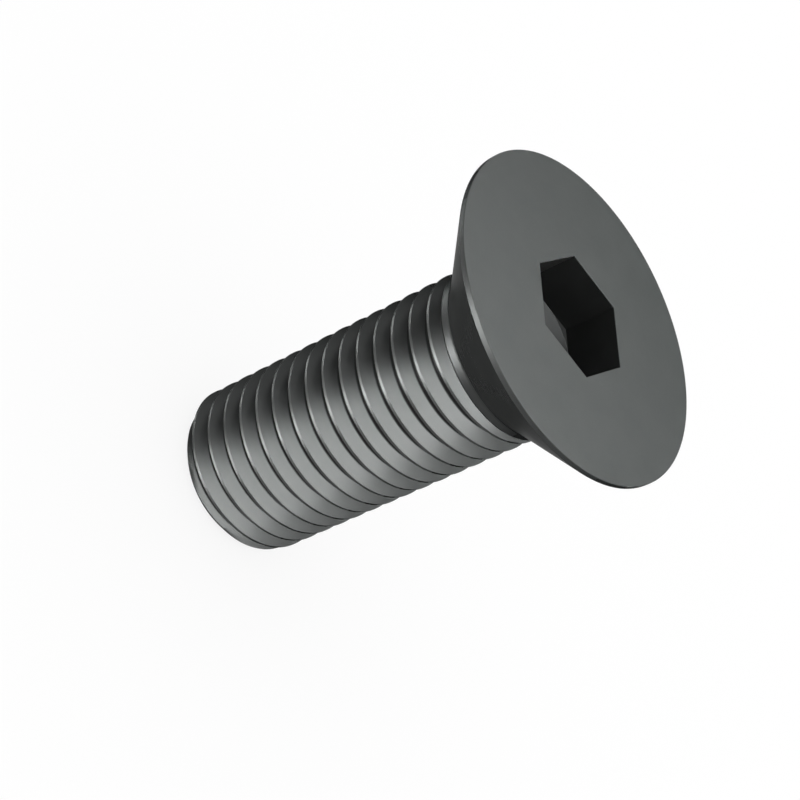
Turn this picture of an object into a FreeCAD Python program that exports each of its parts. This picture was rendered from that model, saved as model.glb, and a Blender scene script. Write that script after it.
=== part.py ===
"""Countersunk socket screw: one turned and threaded piece of steel.

The screw stands on its threaded end. The origin is the centre of that end face, and +Z
runs up the axis to the flat of the head. All sizes are in millimetres.
"""
import FreeCAD, Part
import math
import os

# overall
length = 40.0                   # end face to head face, the length by which it is sold

# head
head_diameter = 30.0
cone_angle = 90.0               # included angle of the seat
rim_land = 0.5                  # short cylinder between the face and the cone
neck_radius = 0.6               # fillet between the cone and the shank

# hexagon socket
socket_corners = 6
socket_across_flats = 10.1
socket_depth = 5.15             # to the flat corners of its floor
drill_point_angle = 120.0       # included angle of the cone left by the drill
socket_turn = 0.0               # azimuth of one corner of the hexagon, in degrees

# shank
shank_diameter = 16.0
plain_length = 0.95             # unthreaded stretch below the head
end_diameter = 13.15            # flat of the threaded end
end_chamfer_angle = 45.0        # between the chamfer and the axis

# thread, right-handed, with the ISO metric profile
pitch = 2.0
crest_diameter = 15.81          # the nominal 16 less the allowance of a cut thread
flank_angle = 60.0
crest_flat = pitch / 8
thread_depth = 0.61343 * pitch  # from the crest to the flat of the root
groove_azimuth = 7.0            # where the middle of the groove meets the end face, in degrees

# room that the cutting tools take beyond the metal
groove_overcut = 0.08
spare_turns = 2                 # of the groove, below the end face and above the shoulder
socket_overcut = 1.0

# where the cone of the head would meet the shank, and where the thread's shoulder is
cone_height = (head_diameter - shank_diameter) / 2 / math.tan(math.radians(cone_angle / 2))
cone_foot = length - rim_land - cone_height
shoulder = cone_foot - plain_length

AXIS = FreeCAD.Vector(0, 0, 1)
ORIGIN = FreeCAD.Vector(0, 0, 0)


def at(radius, height):
    """A point of a section drawn in the XZ plane."""
    return FreeCAD.Vector(radius, 0, height)


def turned(edges):
    """The solid made by turning a closed outline in the XZ plane about the axis."""
    face = Part.Face(Part.Wire(edges))
    return face.revolve(ORIGIN, AXIS, 360)


def outline(points):
    """Straight edges through the points, closed back to the first."""
    ends = points[1:] + points[:1]
    return [Part.LineSegment(a, b).toShape() for a, b in zip(points, ends)]


def head_and_neck():
    """The countersunk head with the plain stretch under it, down to the thread's shoulder."""
    head_radius = head_diameter / 2
    shank_radius = shank_diameter / 2
    half_angle = math.radians(cone_angle / 2)
    cone_top = length - rim_land

    # the fillet touches the shank and the cone at the same distance from their corner
    reach = neck_radius * math.tan(half_angle / 2)
    on_shank = at(shank_radius, cone_foot - reach)
    on_cone = at(shank_radius + reach * math.sin(half_angle), cone_foot + reach * math.cos(half_angle))
    centre = at(shank_radius + neck_radius, cone_foot - reach)
    to_corner = at(shank_radius, cone_foot).sub(centre)
    middle = centre.add(to_corner.multiply(neck_radius / to_corner.Length))

    corners = [at(0, shoulder), at(shank_radius, shoulder), on_shank]
    edges = [Part.LineSegment(a, b).toShape() for a, b in zip(corners, corners[1:])]
    edges.append(Part.Arc(on_shank, middle, on_cone).toShape())
    corners = [on_cone, at(head_radius, cone_top), at(head_radius, length), at(0, length), at(0, shoulder)]
    edges += [Part.LineSegment(a, b).toShape() for a, b in zip(corners, corners[1:])]
    return turned(edges)


def thread_blank():
    """The rod that the thread is cut in, with its chamfered end."""
    crest_radius = crest_diameter / 2
    end_radius = end_diameter / 2
    chamfer_top = (crest_radius - end_radius) / math.tan(math.radians(end_chamfer_angle))
    points = [at(0, 0), at(end_radius, 0), at(crest_radius, chamfer_top), at(crest_radius, shoulder),
              at(0, shoulder)]
    return turned(outline(points))


def thread_groove():
    """The helical groove between the thread's turns, with flat flanks and a flat root."""
    slope = math.tan(math.radians(flank_angle / 2))
    crest_radius = crest_diameter / 2
    root_radius = crest_radius - thread_depth
    outer_radius = crest_radius + groove_overcut
    crest_half_width = (pitch - crest_flat) / 2
    root_half_width = crest_half_width - thread_depth * slope
    outer_half_width = crest_half_width + groove_overcut * slope

    start = -spare_turns * pitch
    section = Part.Wire(outline([
        at(outer_radius, start - outer_half_width), at(root_radius, start - root_half_width),
        at(root_radius, start + root_half_width), at(outer_radius, start + outer_half_width)]))

    # one edge a turn: a sweep along a single edge of many turns can't be cut away
    path = []
    for turn in range(math.ceil(shoulder / pitch) + 2 * spare_turns):
        helix = Part.makeHelix(pitch, pitch, crest_radius)
        helix.translate(FreeCAD.Vector(0, 0, start + turn * pitch))
        path += helix.Edges
    sweep = Part.BRepOffsetAPI.MakePipeShell(Part.Wire(path))
    sweep.setFrenetMode(True)
    sweep.add(section)
    sweep.build()
    sweep.makeSolid()
    groove = sweep.shape()
    groove.rotate(ORIGIN, AXIS, groove_azimuth)
    return groove


def socket_cutter():
    """The hexagon of the socket and the drill point below its floor."""
    corner_radius = socket_across_flats / 2 / math.cos(math.pi / socket_corners)
    floor = length - socket_depth
    corners = []
    for step in range(socket_corners):
        azimuth = math.radians(socket_turn) + 2 * math.pi * step / socket_corners
        x = corner_radius * math.cos(azimuth)
        y = corner_radius * math.sin(azimuth)
        corners.append(FreeCAD.Vector(x, y, floor))
    hexagon = Part.Face(Part.makePolygon(corners + corners[:1]))
    prism = hexagon.extrude(FreeCAD.Vector(0, 0, socket_depth + socket_overcut))

    drill_radius = socket_across_flats / 2
    point_height = drill_radius / math.tan(math.radians(drill_point_angle / 2))
    drill = turned(outline([at(0, floor - point_height), at(drill_radius, floor), at(0, floor)]))
    return prism.fuse(drill)


def screw():
    """The whole screw as one solid."""
    threaded = thread_blank().cut(thread_groove())
    body = threaded.fuse(head_and_neck()).removeSplitter()
    return body.cut(socket_cutter())


os.makedirs("parts", exist_ok=True)
result = screw()
print("valid", result.isValid(), "solids", len(result.Solids), "volume mm3", round(result.Volume, 2))
result.exportStep("parts/screw.step")
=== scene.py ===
"""Looks of a countersunk socket screw in blackened steel, standing on its threaded end."""
import math

import bpy
import numpy as np
from mathutils import Matrix, Vector


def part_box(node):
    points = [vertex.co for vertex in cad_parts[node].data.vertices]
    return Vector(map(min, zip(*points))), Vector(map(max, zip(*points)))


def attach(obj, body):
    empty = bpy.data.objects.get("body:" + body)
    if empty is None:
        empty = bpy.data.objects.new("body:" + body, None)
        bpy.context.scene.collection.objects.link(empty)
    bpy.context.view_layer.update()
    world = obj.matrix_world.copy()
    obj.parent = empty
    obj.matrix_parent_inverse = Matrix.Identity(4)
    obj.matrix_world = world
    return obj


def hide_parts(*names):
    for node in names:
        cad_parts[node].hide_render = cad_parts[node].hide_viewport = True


MM = 0.001                      # metres in a millimetre

# camera, which looks down on the head and is rolled, so that the axis slants as in the photo
PHOTO_SIDE_PX = 800
FOCAL_PX = 2252.4
SENSOR_MM = 36.0
CAMERA_PLACE = Vector((-67.949, -148.388, 131.728)) * MM
CAMERA_RIGHT = Vector((0.5976, 0.2893, 0.7477))
CAMERA_BACK = Vector((-0.3436, -0.7503, 0.5649))
CAMERA_NEAR = 10 * MM

# form, in millimetres, as in the solid
HEAD_HEIGHT = 7.5               # from the face to where the cone would meet the shank
RIM_LAND = 0.5
NECK_RADIUS = 0.6               # fillet between the cone and the neck
SOCKET_CORNERS = 6
SOCKET_ACROSS_FLATS = 10.1
SOCKET_DEPTH = 5.15             # to the flat corners of its floor
DRILL_POINT_HALF_ANGLE = math.radians(60)
SHANK_RADIUS = 8.0
PLAIN_LENGTH = 0.95             # of the neck, above the thread's shoulder
END_RADIUS = 6.575
PITCH = 2.0
CREST_RADIUS = 7.905
FLANK_HALF_ANGLE = math.radians(30)
CREST_FLAT = PITCH / 8
ROOT_ROUNDING = 0.14434 * PITCH     # a sixth of the sharp profile's height
GROOVE_AZIMUTH = math.radians(7)    # where the middle of the groove meets the end face

# broken edges, in millimetres
RIM_EDGE = 0.05
MOUTH_EDGE = 0.03
CREST_EDGE = 0.03
CHAMFER_BLEND = 0.05            # rounding where the end's chamfer cuts the turns of the thread
SHOULDER_BREAK = 0.085          # chamfer under the plain neck, across
SHOULDER_RISE = 0.15            # and along the axis
SHOULDER_EDGE = 0.02            # rounding of that chamfer's upper end
SHOULDER_FOOT_EDGE = 0.005      # and of its lower end
FLAT_MARGIN = 0.02              # strip beside a rounding that keeps the flat's own shading flat

# fineness of the mesh
SIDES = 144
CREST_STEPS = 3
ROOT_STEPS = 8
FLANK_STEPS = 6
FILLET_STEPS = 8
EDGE_STEPS = 4
FACE_RINGS = 4                  # between the rim and the mouth of the socket
POINT_RINGS = 4                 # down the drill point
TIP_SHARE = 0.04                # radius of one more ring close to its tip, as a share of its mouth's
SPARE_TURNS_BELOW = 2           # of the thread's profile, past the end face
SPARE_TURNS_ABOVE = 1           # and past the shoulder
POINT_DIGITS = 5                # decimals of a millimetre to which points count as one
SHARP_ANGLE = math.radians(28)  # between faces, from which an edge is shaded as sharp

# steel: base colours, and how it mirrors
OXIDE_DARK = (0.0368, 0.0383, 0.0378)       # the two shades of the mottle
OXIDE_LIGHT = (0.0418, 0.0434, 0.0429)
ROOT_SHADE_STEEL = (0.0154, 0.016, 0.0158)       # painted shade in the roots of the thread
POINT_SHADE_STEEL = (0.01, 0.0104, 0.0103)       # painted shade in the drill point
RUBBED_AND_HIGHLIGHT_STEEL = (0.088, 0.0915, 0.0904)      # on the crests of the thread, partly rubbed oxide and partly a painted highlight
HEAD_METAL = 0.78               # metallic share of the head, whose oxide is partly matt
SHANK_METAL = 0.94              # and of the thread and the neck, which are smoother
EDGE_TINT = (0.22, 0.22, 0.22)  # of the mirroring at a grazing angle
ROUGHNESS_LEAST = 0.31
ROUGHNESS_MOST = 0.37

# steel: where each finish, painted shade and painted highlight lies, in millimetres
WEAR_AND_HIGHLIGHT_DEPTH = 0.04               # how far below the crests the rubbing and the painted highlight reach
ROOT_SHADE_FOOT = 6.76                 # radii between which the painted shade in the roots thins out
ROOT_SHADE_TOP = 6.86
SOCKET_RADIUS = 5.9             # just outside the hexagon's corners
POINT_MARGIN = 0.004            # how far below the flat corners the drill point's painted shade starts

# steel: unevenness
MARK_SIZE = 0.12 * MM
MOTTLE_SIZE = 2.5 * MM
GRAIN_SIZE = 0.3 * MM
FINE_DETAIL = 2                 # octaves of the marks and the grain
MOTTLE_DETAIL = 4
NOISE_LOW = 0.3                 # the mottle mostly keeps between these values
NOISE_HIGH = 0.7
WEAR_AND_HIGHLIGHT_LEAST = 0.2                # how much of the rubbing and painted highlight shows, from spot to spot
WEAR_AND_HIGHLIGHT_MOST = 0.7
MARKS_SHARE = 0.5               # of the turning marks in the roughness, beside the mottle
UNEVEN_LOW = 0.5                # their sum mostly keeps between these values
UNEVEN_HIGH = 1.0
BUMP_STRENGTH = 0.15
BUMP_HEIGHT = 0.01 * MM

# places of a Mix node's colour sockets, whose names it repeats for other kinds of data
MIX_COLOURS = (6, 7)
MIX_RESULT = 2

# stage, in metres
WHITE = (1, 1, 1, 1)
FLOOR_SIDE = 6.0
FLOOR_GLOW = 0.85               # share of plain white in the floor as seen, beside its shadow
LAMP_DISTANCE = 0.8
LAMP_AIM = Vector((0, 0, 22)) * MM

# name, azimuth, elevation and spread in degrees, radiance, and whether it casts shadows; 1 is the
# radiance of the white surroundings, and the lamps' were fitted to the photo's tones, then rounded
LAMPS = [
    ("above", 320, 80, 52, 7, False),
    ("above_middle", 0, 90, 40, 3, False),
    ("above_left", 180, 66, 26, 2.5, False),
    ("above_right", 0, 66, 26, 4.5, False),
    ("right", 5, 48, 36, 3, False),
    ("back", 62, 33, 36, 2.5, True),
    ("back_small", 65, 34, 20, 6.5, True),
    ("back_right", 40, 22, 26, 11, True),
    ("low_front", 221, -20, 32, 7, True),
    ("low_front_small", 221, -20, 20, 14.5, True),
    ("low_front_left", 210, -44, 24, 5, True),
    ("low_front_right", 231, -44, 24, 8.5, True),
    ("low_left", 150, -30, 24, 5, True),
    ("low_left_small", 137, -34, 20, 6, True),
]


def arc(centre, radius, start, end, steps):
    """Points of an arc in the (radius, height) plane, both ends included."""
    angles = np.linspace(start, end, steps + 1)
    return [(centre[0] + radius * math.cos(a), centre[1] + radius * math.sin(a)) for a in angles]


def thread_profile():
    """One pitch of the thread as (radius, height), from a crest's middle up to the next one's."""
    flank_turn = math.pi / 2 - FLANK_HALF_ANGLE
    edge_cut = CREST_EDGE * math.tan(flank_turn / 2)
    groove_half = (PITCH - CREST_FLAT) / 2
    sharp_root = CREST_RADIUS - groove_half / math.tan(FLANK_HALF_ANGLE)
    root_centre = sharp_root + ROOT_ROUNDING / math.sin(FLANK_HALF_ANGLE)

    edge_centre = (CREST_RADIUS - CREST_EDGE, CREST_FLAT / 2 - edge_cut)
    crest_edge = arc(edge_centre, CREST_EDGE, 0, flank_turn, CREST_STEPS)
    root = arc((root_centre, PITCH / 2), ROOT_ROUNDING, math.pi + flank_turn, math.pi, ROOT_STEPS // 2)
    top = crest_edge[-1]
    foot = root[0]
    margin = FLAT_MARGIN / math.dist(top, foot)
    flank = []
    for share in (margin, *np.linspace(0, 1, FLANK_STEPS + 1)[1:-1], 1 - margin):
        flank.append((top[0] + (foot[0] - top[0]) * share, top[1] + (foot[1] - top[1]) * share))
    on_crest = (CREST_RADIUS, crest_edge[0][1] - FLAT_MARGIN)
    lower = [on_crest] + crest_edge + flank + root
    upper = [(radius, PITCH - height) for radius, height in reversed(lower[:-1])]
    return lower + upper


def smooth_least(a, b, blend):
    """The lesser of two values, with the corner between them rounded off."""
    share = np.clip((1 + (b - a) / blend) / 2, 0, 1)
    return b + (a - b) * share - blend * share * (1 - share)


def thread_columns(shoulder):
    """Radius and height of the threaded stretch, one column of points for each azimuth."""
    profile = np.array(thread_profile())
    rows = len(profile)
    turns = math.ceil(shoulder / PITCH) + SPARE_TURNS_BELOW + SPARE_TURNS_ABOVE
    # the groove's middle meets the end face at its azimuth, so a crest's middle is half a pitch off
    start = PITCH / 2 - PITCH * GROOVE_AZIMUTH / (2 * math.pi) - SPARE_TURNS_BELOW * PITCH
    radius = np.tile(profile[:, 0], turns)
    height = np.concatenate([profile[:, 1] + start + PITCH * turn for turn in range(turns)])

    columns = []
    for side in range(SIDES):
        z = height + PITCH * side / SIDES
        at_shoulder = np.interp(shoulder, z, radius)
        r = smooth_least(radius, END_RADIUS + z, CHAMFER_BLEND)
        r = np.where(z < 0, END_RADIUS, r)
        r = np.where(z > shoulder, at_shoulder, r)
        r = np.maximum(r, END_RADIUS)
        columns.append((r, np.clip(z, 0, shoulder)))
    return columns, rows


class Skin:
    """Points and faces of one closed mesh, where points that coincide are one."""

    def __init__(self):
        self.points = []
        self.known = {}
        self.faces = []
        self.last = None

    def point(self, side, radius, height):
        """The point at one of the azimuths, as its number in the list."""
        angle = 2 * math.pi * side / SIDES
        x = radius * math.cos(angle)
        y = radius * math.sin(angle)
        key = (round(x, POINT_DIGITS), round(y, POINT_DIGITS), round(height, POINT_DIGITS))
        if key not in self.known:
            self.known[key] = len(self.points)
            self.points.append((x * MM, y * MM, height * MM))
        return self.known[key]

    def face(self, corners):
        """A face, unless its corners have run together."""
        distinct = [c for i, c in enumerate(corners) if c != corners[i - 1]]
        if len(set(distinct)) > 2:
            self.faces.append(distinct)

    def ring(self, radii, height):
        """Points at one height, at each azimuth's own distance from the axis."""
        return [self.point(side, radii[side], height) for side in range(SIDES)]

    def circle(self, radius, height):
        return self.ring([radius] * SIDES, height)

    def join(self, lower, upper):
        """Faces between two rings."""
        for side in range(SIDES):
            after = (side + 1) % SIDES
            self.face([lower[side], lower[after], upper[after], upper[side]])

    def extend(self, ring):
        """Faces from the last ring to a new one, which becomes the last."""
        self.join(self.last, ring)
        self.last = ring


def add_thread(skin, shoulder):
    """The threaded stretch and the flat of its end, up to the shoulder."""
    columns, rows = thread_columns(shoulder)
    grid = []
    for side, (radii, heights) in enumerate(columns):
        grid.append([skin.point(side, radius, height) for radius, height in zip(radii, heights)])
    top = len(grid[0]) - 1
    for side in range(SIDES):
        # the next column past a full turn is the first one, a pitch higher
        step = rows if side == SIDES - 1 else 0
        here = grid[side]
        after = grid[(side + 1) % SIDES]
        for row in range(top):
            lower = after[min(row + step, top)]
            upper = after[min(row + step + 1, top)]
            skin.face([here[row], lower, upper, here[row + 1]])
    lowest = [column[0] for column in grid]
    skin.join(skin.circle(0, 0), lowest)
    skin.last = [column[top] for column in grid]


def rounded_corner(before, corner, after, radius, steps):
    """An arc that rounds one corner of an outline, with a point on the flat at each side of it."""
    corner = Vector(corner)
    way_in = (Vector(before) - corner).normalized()
    way_out = (Vector(after) - corner).normalized()
    half = way_in.angle(way_out) / 2
    reach = radius / math.tan(half)
    centre = corner + (way_in + way_out).normalized() * (radius / math.sin(half))
    first = corner + way_in * reach - centre
    last = corner + way_out * reach - centre
    turn = math.atan2(first.x * last.y - first.y * last.x, first.dot(last))
    start = math.atan2(first.y, first.x)
    before_arc = corner + way_in * (reach + FLAT_MARGIN)
    after_arc = corner + way_out * (reach + FLAT_MARGIN)
    return [before_arc, *arc(centre, radius, start, start + turn, steps), after_arc]


def add_neck_and_cone(skin, shoulder, cone_foot, length, head_radius):
    """The outside from the thread's shoulder up to the rim of the face."""
    outline = [(0, shoulder), (SHANK_RADIUS - SHOULDER_BREAK, shoulder),
               (SHANK_RADIUS, shoulder + SHOULDER_RISE), (SHANK_RADIUS, cone_foot),
               (head_radius, length - RIM_LAND), (head_radius, length), (0, length)]
    # radius and steps of the rounding at each corner between the outline's ends
    roundings = [(SHOULDER_FOOT_EDGE, EDGE_STEPS), (SHOULDER_EDGE, EDGE_STEPS), (NECK_RADIUS, FILLET_STEPS),
                 (RIM_EDGE, EDGE_STEPS), (RIM_EDGE, EDGE_STEPS)]
    for before, corner, after, rounding in zip(outline, outline[1:], outline[2:], roundings):
        for radius, height in rounded_corner(before, corner, after, *rounding):
            skin.extend(skin.circle(radius, height))


def hexagon(apothem):
    """Distance from the axis to the hexagon's edge at each azimuth."""
    sector = 2 * math.pi / SOCKET_CORNERS
    radii = []
    for side in range(SIDES):
        from_middle = (2 * math.pi * side / SIDES) % sector - sector / 2
        radii.append(apothem / math.cos(from_middle))
    return radii


def add_face_and_socket(skin, length, head_radius):
    """The face from its round rim to the hexagon of the mouth, and the socket down to its tip."""
    apothem = SOCKET_ACROSS_FLATS / 2
    rim = head_radius - RIM_EDGE - FLAT_MARGIN
    for share in np.linspace(0, 1, FACE_RINGS + 1)[1:]:
        radii = [rim + (edge - rim) * share for edge in hexagon(apothem + MOUTH_EDGE)]
        skin.extend(skin.ring(radii, length))
    floor = length - SOCKET_DEPTH
    for height in (length - MOUTH_EDGE, floor):
        skin.extend(skin.ring(hexagon(apothem), height))
    point_height = apothem / math.tan(DRILL_POINT_HALF_ANGLE)
    for share in (*np.linspace(1, 0, POINT_RINGS + 1)[:-1], TIP_SHARE, 0):
        skin.extend(skin.circle(apothem * share, floor - point_height * (1 - share)))


def build_screw(length, head_radius):
    """The whole skin, from the end face up the outside and down into the socket."""
    skin = Skin()
    cone_foot = length - HEAD_HEIGHT
    shoulder = cone_foot - PLAIN_LENGTH
    add_thread(skin, shoulder)
    add_neck_and_cone(skin, shoulder, cone_foot, length, head_radius)
    add_face_and_socket(skin, length, head_radius)
    return skin


def mesh_object(name, skin):
    """The skin as an object, smooth except at its sharp edges."""
    mesh = bpy.data.meshes.new(name)
    mesh.from_pydata(skin.points, [], skin.faces)
    mesh.validate()
    mesh.shade_smooth()
    mesh.set_sharp_from_angle(angle=SHARP_ANGLE)
    piece = bpy.data.objects.new(name, mesh)
    bpy.context.scene.collection.objects.link(piece)
    return piece


def add_node(tree, kind, **settings):
    """A shader node with properties of its own set, such as its operation."""
    made = tree.nodes.new(kind)
    for name, value in settings.items():
        setattr(made, name, value)
    return made


def math_node(tree, operation, a, b=None):
    """The result of one sum on a socket and, where there is one, a second socket or number."""
    made = add_node(tree, "ShaderNodeMath", operation=operation)
    tree.links.new(a, made.inputs[0])
    if isinstance(b, bpy.types.NodeSocket):
        tree.links.new(b, made.inputs[1])
    elif b is not None:
        made.inputs[1].default_value = b
    return made.outputs[0]


def mapped(tree, value, from_low, from_high, to_low, to_high):
    """A value carried from one range to another, and held at its ends."""
    made = add_node(tree, "ShaderNodeMapRange", clamp=True)
    tree.links.new(value, made.inputs["Value"])
    made.inputs["From Min"].default_value = from_low
    made.inputs["From Max"].default_value = from_high
    made.inputs["To Min"].default_value = to_low
    made.inputs["To Max"].default_value = to_high
    return made.outputs["Result"]


def noise(tree, place, size, detail):
    """Noise whose spots are about the given size in metres."""
    made = add_node(tree, "ShaderNodeTexNoise")
    tree.links.new(place, made.inputs["Vector"])
    made.inputs["Scale"].default_value = 1 / size
    made.inputs["Detail"].default_value = detail
    return made.outputs["Fac"]


def mixed(tree, share, first, second):
    """A blend of two colours, each a socket or a plain colour."""
    made = add_node(tree, "ShaderNodeMix", data_type="RGBA")
    tree.links.new(share, made.inputs["Factor"])
    for place, colour in zip(MIX_COLOURS, (first, second)):
        if isinstance(colour, bpy.types.NodeSocket):
            tree.links.new(colour, made.inputs[place])
        else:
            made.inputs[place].default_value = (*colour, 1)
    return made.outputs[MIX_RESULT]


def steel_material(shoulder, socket_floor):
    """Blackened steel: mottled oxide, turning marks, painted shade in the roots and the drill point, and
    rubbed crests that are partly a painted highlight.
    """
    material = bpy.data.materials.new("blackened_steel")
    material.use_nodes = True
    tree = material.node_tree
    shader = tree.nodes["Principled BSDF"]
    shader.inputs["Specular Tint"].default_value = (*EDGE_TINT, 1)
    shader.inputs["Specular IOR Level"].default_value = 0.0

    place = add_node(tree, "ShaderNodeTexCoord").outputs["Object"]
    parts = add_node(tree, "ShaderNodeSeparateXYZ")
    tree.links.new(place, parts.inputs["Vector"])
    x, y, height = parts.outputs
    radius = math_node(tree, "SQRT", math_node(tree, "ADD", math_node(tree, "MULTIPLY", x, x),
                                               math_node(tree, "MULTIPLY", y, y)))

    # turning marks run round the axis, so they change only with radius and height
    across = add_node(tree, "ShaderNodeCombineXYZ")
    tree.links.new(radius, across.inputs["X"])
    tree.links.new(height, across.inputs["Y"])
    marks = noise(tree, across.outputs["Vector"], MARK_SIZE, FINE_DETAIL)
    mottle = noise(tree, place, MOTTLE_SIZE, MOTTLE_DETAIL)
    grain = noise(tree, place, GRAIN_SIZE, FINE_DETAIL)

    # the stretches of the screw; the socket, drill point included, lies above the thread's shoulder
    on_thread = math_node(tree, "LESS_THAN", height, shoulder * MM)
    below_cone = math_node(tree, "LESS_THAN", height, (shoulder + PLAIN_LENGTH) * MM)
    inside = math_node(tree, "LESS_THAN", radius, SOCKET_RADIUS * MM)
    in_socket = math_node(tree, "MULTIPLY", inside, math_node(tree, "GREATER_THAN", height, shoulder * MM))
    below_floor = math_node(tree, "LESS_THAN", height, (socket_floor - POINT_MARGIN) * MM)
    in_point = math_node(tree, "MULTIPLY", in_socket, below_floor)
    on_shank = math_node(tree, "SUBTRACT", below_cone, in_socket)
    tree.links.new(mapped(tree, on_shank, 0, 1, HEAD_METAL, SHANK_METAL), shader.inputs["Metallic"])

    colour = mixed(tree, mapped(tree, mottle, NOISE_LOW, NOISE_HIGH, 0, 1), OXIDE_DARK, OXIDE_LIGHT)
    # painted shade: the roots of the thread are darkened, fading out towards the flanks
    root_shade_mask = mapped(tree, radius, ROOT_SHADE_FOOT * MM, ROOT_SHADE_TOP * MM, 1, 0)
    colour = mixed(tree, math_node(tree, "MULTIPLY", root_shade_mask, on_thread), colour, ROOT_SHADE_STEEL)
    # painted shade: the drill point at the bottom of the socket is darkened
    colour = mixed(tree, in_point, colour, POINT_SHADE_STEEL)
    # the crests are lighter, partly rubbed oxide and partly a painted highlight
    near_crest = mapped(tree, radius, (CREST_RADIUS - WEAR_AND_HIGHLIGHT_DEPTH) * MM, CREST_RADIUS * MM, 0, 1)
    worn_and_highlight = math_node(tree, "MULTIPLY", math_node(tree, "MULTIPLY", near_crest, on_thread),
                     mapped(tree, mottle, NOISE_LOW, NOISE_HIGH, WEAR_AND_HIGHLIGHT_LEAST, WEAR_AND_HIGHLIGHT_MOST))
    tree.links.new(mixed(tree, worn_and_highlight, colour, RUBBED_AND_HIGHLIGHT_STEEL), shader.inputs["Base Color"])

    uneven = math_node(tree, "ADD", mottle, math_node(tree, "MULTIPLY", marks, MARKS_SHARE))
    tree.links.new(mapped(tree, uneven, UNEVEN_LOW, UNEVEN_HIGH, ROUGHNESS_LEAST, ROUGHNESS_MOST),
                   shader.inputs["Roughness"])

    bump = add_node(tree, "ShaderNodeBump")
    bump.inputs["Strength"].default_value = BUMP_STRENGTH
    bump.inputs["Distance"].default_value = BUMP_HEIGHT
    tree.links.new(math_node(tree, "ADD", marks, grain), bump.inputs["Height"])
    tree.links.new(bump.outputs["Normal"], shader.inputs["Normal"])
    return material


def floor_material():
    """White as the camera and the metal see it, with part of it left to show the soft shadow."""
    material = bpy.data.materials.new("floor")
    material.use_nodes = True
    tree = material.node_tree
    shader = tree.nodes["Principled BSDF"]
    shader.inputs["Base Color"].default_value = WHITE
    shader.inputs["Roughness"].default_value = 1.0
    shader.inputs["Specular IOR Level"].default_value = 0.0
    glow = add_node(tree, "ShaderNodeEmission")
    rays = add_node(tree, "ShaderNodeLightPath").outputs
    seen = math_node(tree, "MAXIMUM", rays["Is Camera Ray"],
                     math_node(tree, "MAXIMUM", rays["Is Glossy Ray"], rays["Is Transmission Ray"]))
    blend = add_node(tree, "ShaderNodeMixShader")
    tree.links.new(math_node(tree, "MULTIPLY", seen, FLOOR_GLOW), blend.inputs["Fac"])
    tree.links.new(shader.outputs["BSDF"], blend.inputs[1])
    tree.links.new(glow.outputs["Emission"], blend.inputs[2])
    tree.links.new(blend.outputs["Shader"], tree.nodes["Material Output"].inputs["Surface"])
    return material


def add_camera():
    """The photo's view, with its lens worked out from the focal length in pixels."""
    data = bpy.data.cameras.new("camera")
    data.sensor_width = SENSOR_MM
    data.lens = FOCAL_PX / PHOTO_SIDE_PX * SENSOR_MM
    data.clip_start = CAMERA_NEAR
    back = CAMERA_BACK.normalized()
    right = (CAMERA_RIGHT - back * CAMERA_RIGHT.dot(back)).normalized()
    up = back.cross(right)
    turn = Matrix((right, up, back)).transposed()
    camera = bpy.data.objects.new("camera", data)
    camera.matrix_world = Matrix.Translation(CAMERA_PLACE) @ turn.to_4x4()
    bpy.context.scene.collection.objects.link(camera)
    bpy.context.scene.camera = camera


def add_floor():
    """The white table that the screw stands on."""
    half = FLOOR_SIDE / 2
    mesh = bpy.data.meshes.new("floor")
    corners = [(-half, -half, 0), (half, -half, 0), (half, half, 0), (-half, half, 0)]
    mesh.from_pydata(corners, [], [(0, 1, 2, 3)])
    mesh.materials.append(floor_material())
    floor = bpy.data.objects.new("floor", mesh)
    # it casts no shadow, so that the lamps below it reach the screw
    floor.visible_shadow = False
    bpy.context.scene.collection.objects.link(floor)


def add_world():
    """Even white light from all round."""
    world = bpy.data.worlds.new("world")
    world.use_nodes = True
    background = world.node_tree.nodes["Background"]
    background.inputs["Color"].default_value = WHITE
    background.inputs["Strength"].default_value = 1.0
    bpy.context.scene.world = world


def add_lamp(name, azimuth, elevation, spread, radiance, shadow, lit):
    """A round soft lamp, placed and sized by the angles at which the screw sees it."""
    azimuth = math.radians(azimuth)
    elevation = math.radians(elevation)
    data = bpy.data.lights.new(name, "AREA")
    data.shape = "DISK"
    data.size = 2 * LAMP_DISTANCE * math.tan(math.radians(spread / 2))
    data.energy = radiance * math.pi * (math.pi * data.size ** 2 / 4)
    data.use_shadow = shadow
    # rays from the metal pass through the lamp to the white behind it, and its light is added to that
    data.cycles.use_multiple_importance_sampling = False
    lamp = bpy.data.objects.new(name, data)
    level = math.cos(elevation)
    way = Vector((level * math.cos(azimuth), level * math.sin(azimuth), math.sin(elevation)))
    lamp.location = LAMP_AIM + way * LAMP_DISTANCE
    lamp.rotation_euler = way.to_track_quat("Z", "Y").to_euler()
    lamp.visible_camera = False
    lamp.light_linking.receiver_collection = lit
    bpy.context.scene.collection.objects.link(lamp)


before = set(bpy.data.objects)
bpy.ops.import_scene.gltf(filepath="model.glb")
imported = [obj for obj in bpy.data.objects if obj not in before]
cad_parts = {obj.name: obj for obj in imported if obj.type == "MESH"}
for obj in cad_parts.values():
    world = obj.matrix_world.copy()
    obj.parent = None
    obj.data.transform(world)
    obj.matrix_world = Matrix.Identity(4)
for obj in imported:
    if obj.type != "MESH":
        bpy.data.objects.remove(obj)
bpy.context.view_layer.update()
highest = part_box("screw")[1]
length = highest.z / MM
head_radius = highest.x / MM
piece = mesh_object("steel_screw", build_screw(length, head_radius))
piece.data.materials.append(steel_material(length - HEAD_HEIGHT - PLAIN_LENGTH, length - SOCKET_DEPTH))
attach(piece, "root")
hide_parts("screw")

add_floor()
add_world()
add_camera()
lit = bpy.data.collections.new("lit_by_lamps")
lit.objects.link(piece)
for name, azimuth, elevation, spread, radiance, shadow in LAMPS:
    add_lamp(name, azimuth, elevation, spread, radiance, shadow, lit)
bpy.context.scene.view_settings.view_transform = "Standard"
